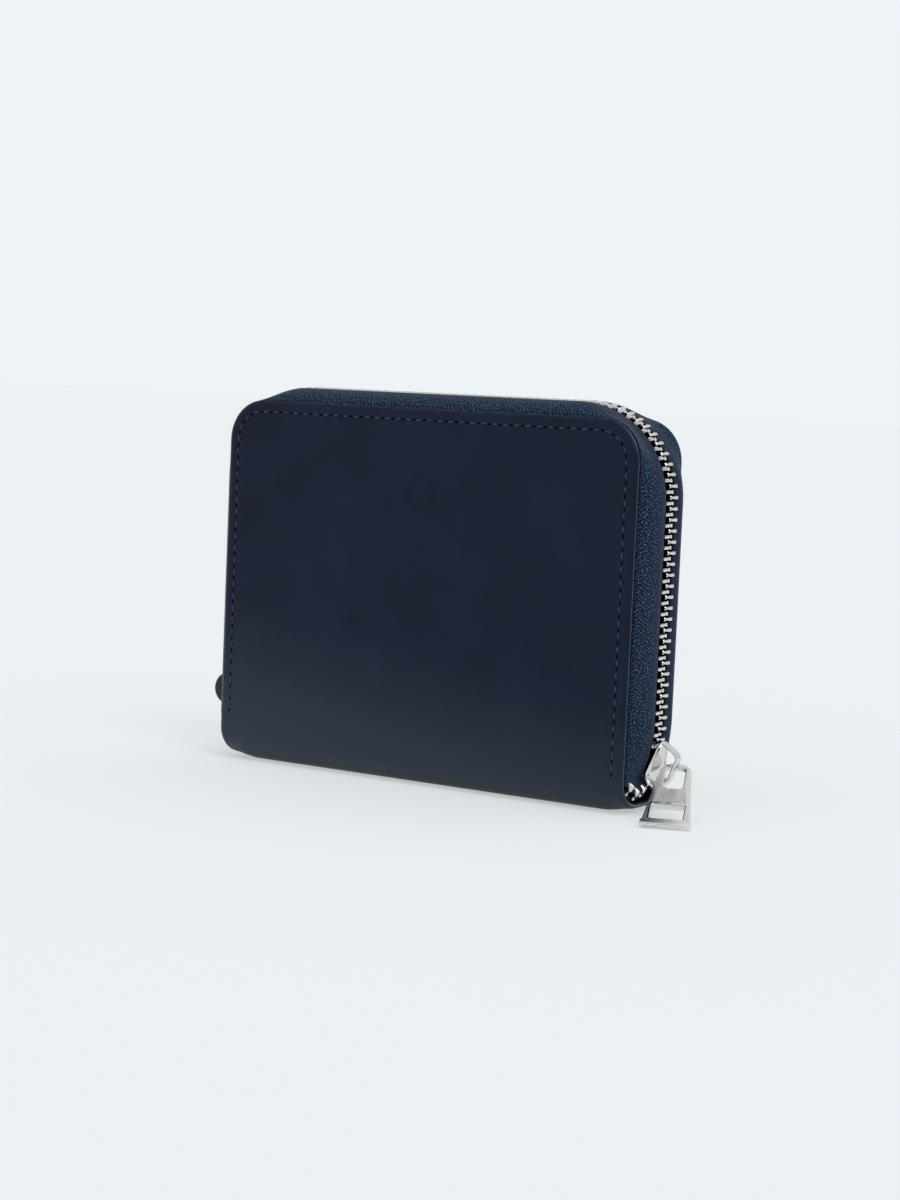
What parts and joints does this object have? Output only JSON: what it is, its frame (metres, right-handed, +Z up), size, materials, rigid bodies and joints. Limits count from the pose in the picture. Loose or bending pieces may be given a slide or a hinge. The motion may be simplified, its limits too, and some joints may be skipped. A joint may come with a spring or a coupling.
{
  "type": "zip-around wallet",
  "caption": "Compact leather zip-around wallet with a metal zip round three sides, card pockets and a zipped coin pouch as its middle page.",
  "frame": {"origin": "middle of the flat strip of the spine that the wallet stands on", "axes": "+X along the width to the end where the zip closes, -Y out of the front cover, +Z up from the spine to the top edge"},
  "size_m": [0.1598, 0.0334, 0.1044],
  "materials": {
    "navy_leather": "smooth dyed cowhide with a satin finish",
    "inner_leather": "thin dyed leather",
    "lining_cloth": "fine woven lining",
    "zip_tape": "herringbone woven tape",
    "nickel": "polished nickel plate",
    "coil_nylon": "dyed nylon coil"
  },
  "bodies": {
    "spine": {"spine_strip": "navy_leather", "spine_lining": "lining_cloth", "zip_bottom_stop": "nickel", "zip_end_tab": "navy_leather"},
    "front_cover": {"front_cover": "navy_leather", "front_lining": "lining_cloth", "front_pocket_base": "inner_leather", "front_card_pocket_1": "inner_leather", "front_card_pocket_2": "inner_leather", "front_card_pocket_3": "inner_leather", "front_zip_tape": "zip_tape", "front_zip_teeth": "nickel"},
    "back_cover": {"back_cover": "navy_leather", "back_lining": "lining_cloth", "back_pocket_base": "inner_leather", "back_card_pocket_1": "inner_leather", "back_card_pocket_2": "inner_leather", "back_card_pocket_3": "inner_leather", "back_zip_tape": "zip_tape", "back_zip_teeth": "nickel"},
    "coin_pouch": {"pouch_front_wall": "inner_leather", "pouch_back_wall": "inner_leather", "pouch_gusset": "inner_leather", "coin_zip_tape_front": "zip_tape", "coin_zip_tape_back": "zip_tape", "coin_zip_coil_front": "coil_nylon", "coin_zip_coil_back": "coil_nylon", "coin_zip_stop_left": "nickel", "coin_zip_stop_right": "nickel"},
    "slider": {"zip_slider": "nickel"},
    "pull": {"zip_pull": "nickel"},
    "coin_slider": {"coin_slider": "nickel"},
    "coin_pull": {"coin_pull": "nickel"}
  },
  "joints": [
    {"name": "front_opens", "type": "hinge", "parent": "spine", "child": "front_cover", "pos_m": [0, -0.00936, 0.00264], "axis": [1, 0, 0], "range_deg": [0, 88]},
    {"name": "back_opens", "type": "hinge", "parent": "spine", "child": "back_cover", "pos_m": [0, 0.00936, 0.00264], "axis": [1, 0, 0], "range_deg": [-88, 0]},
    {"name": "pouch_leans", "type": "hinge", "parent": "spine", "child": "coin_pouch", "pos_m": [0, 0, 0.0055], "axis": [1, 0, 0], "range_deg": [-60, 0]},
    {"name": "slider_runs", "type": "slide", "parent": "front_cover", "child": "slider", "axis": [0.0221, 0, 0.9998], "range_m": [0, 0.068], "deforming": ["front_zip_teeth", "back_zip_teeth", "front_zip_tape", "back_zip_tape"]},
    {"name": "pull_swings", "type": "hinge", "parent": "slider", "child": "pull", "pos_m": [0.0692, 0, 0.0104], "axis": [-0.9272, -0.3746, 0], "range_deg": [0, 55]},
    {"name": "coin_slider_runs", "type": "slide", "parent": "coin_pouch", "child": "coin_slider", "axis": [-1, 0, 0], "range_m": [0, 0.092]},
    {"name": "coin_pull_swings", "type": "hinge", "parent": "coin_slider", "child": "coin_pull", "pos_m": [0.0462, 0, 0.09055], "axis": [0, 1, 0], "range_deg": [0, 140]}
  ],
  "couplings": [
    {"joint": "back_opens", "follows": "front_opens", "ratio": -1},
    {"joint": "pouch_leans", "follows": "front_opens", "ratio": -0.66}
  ]
}
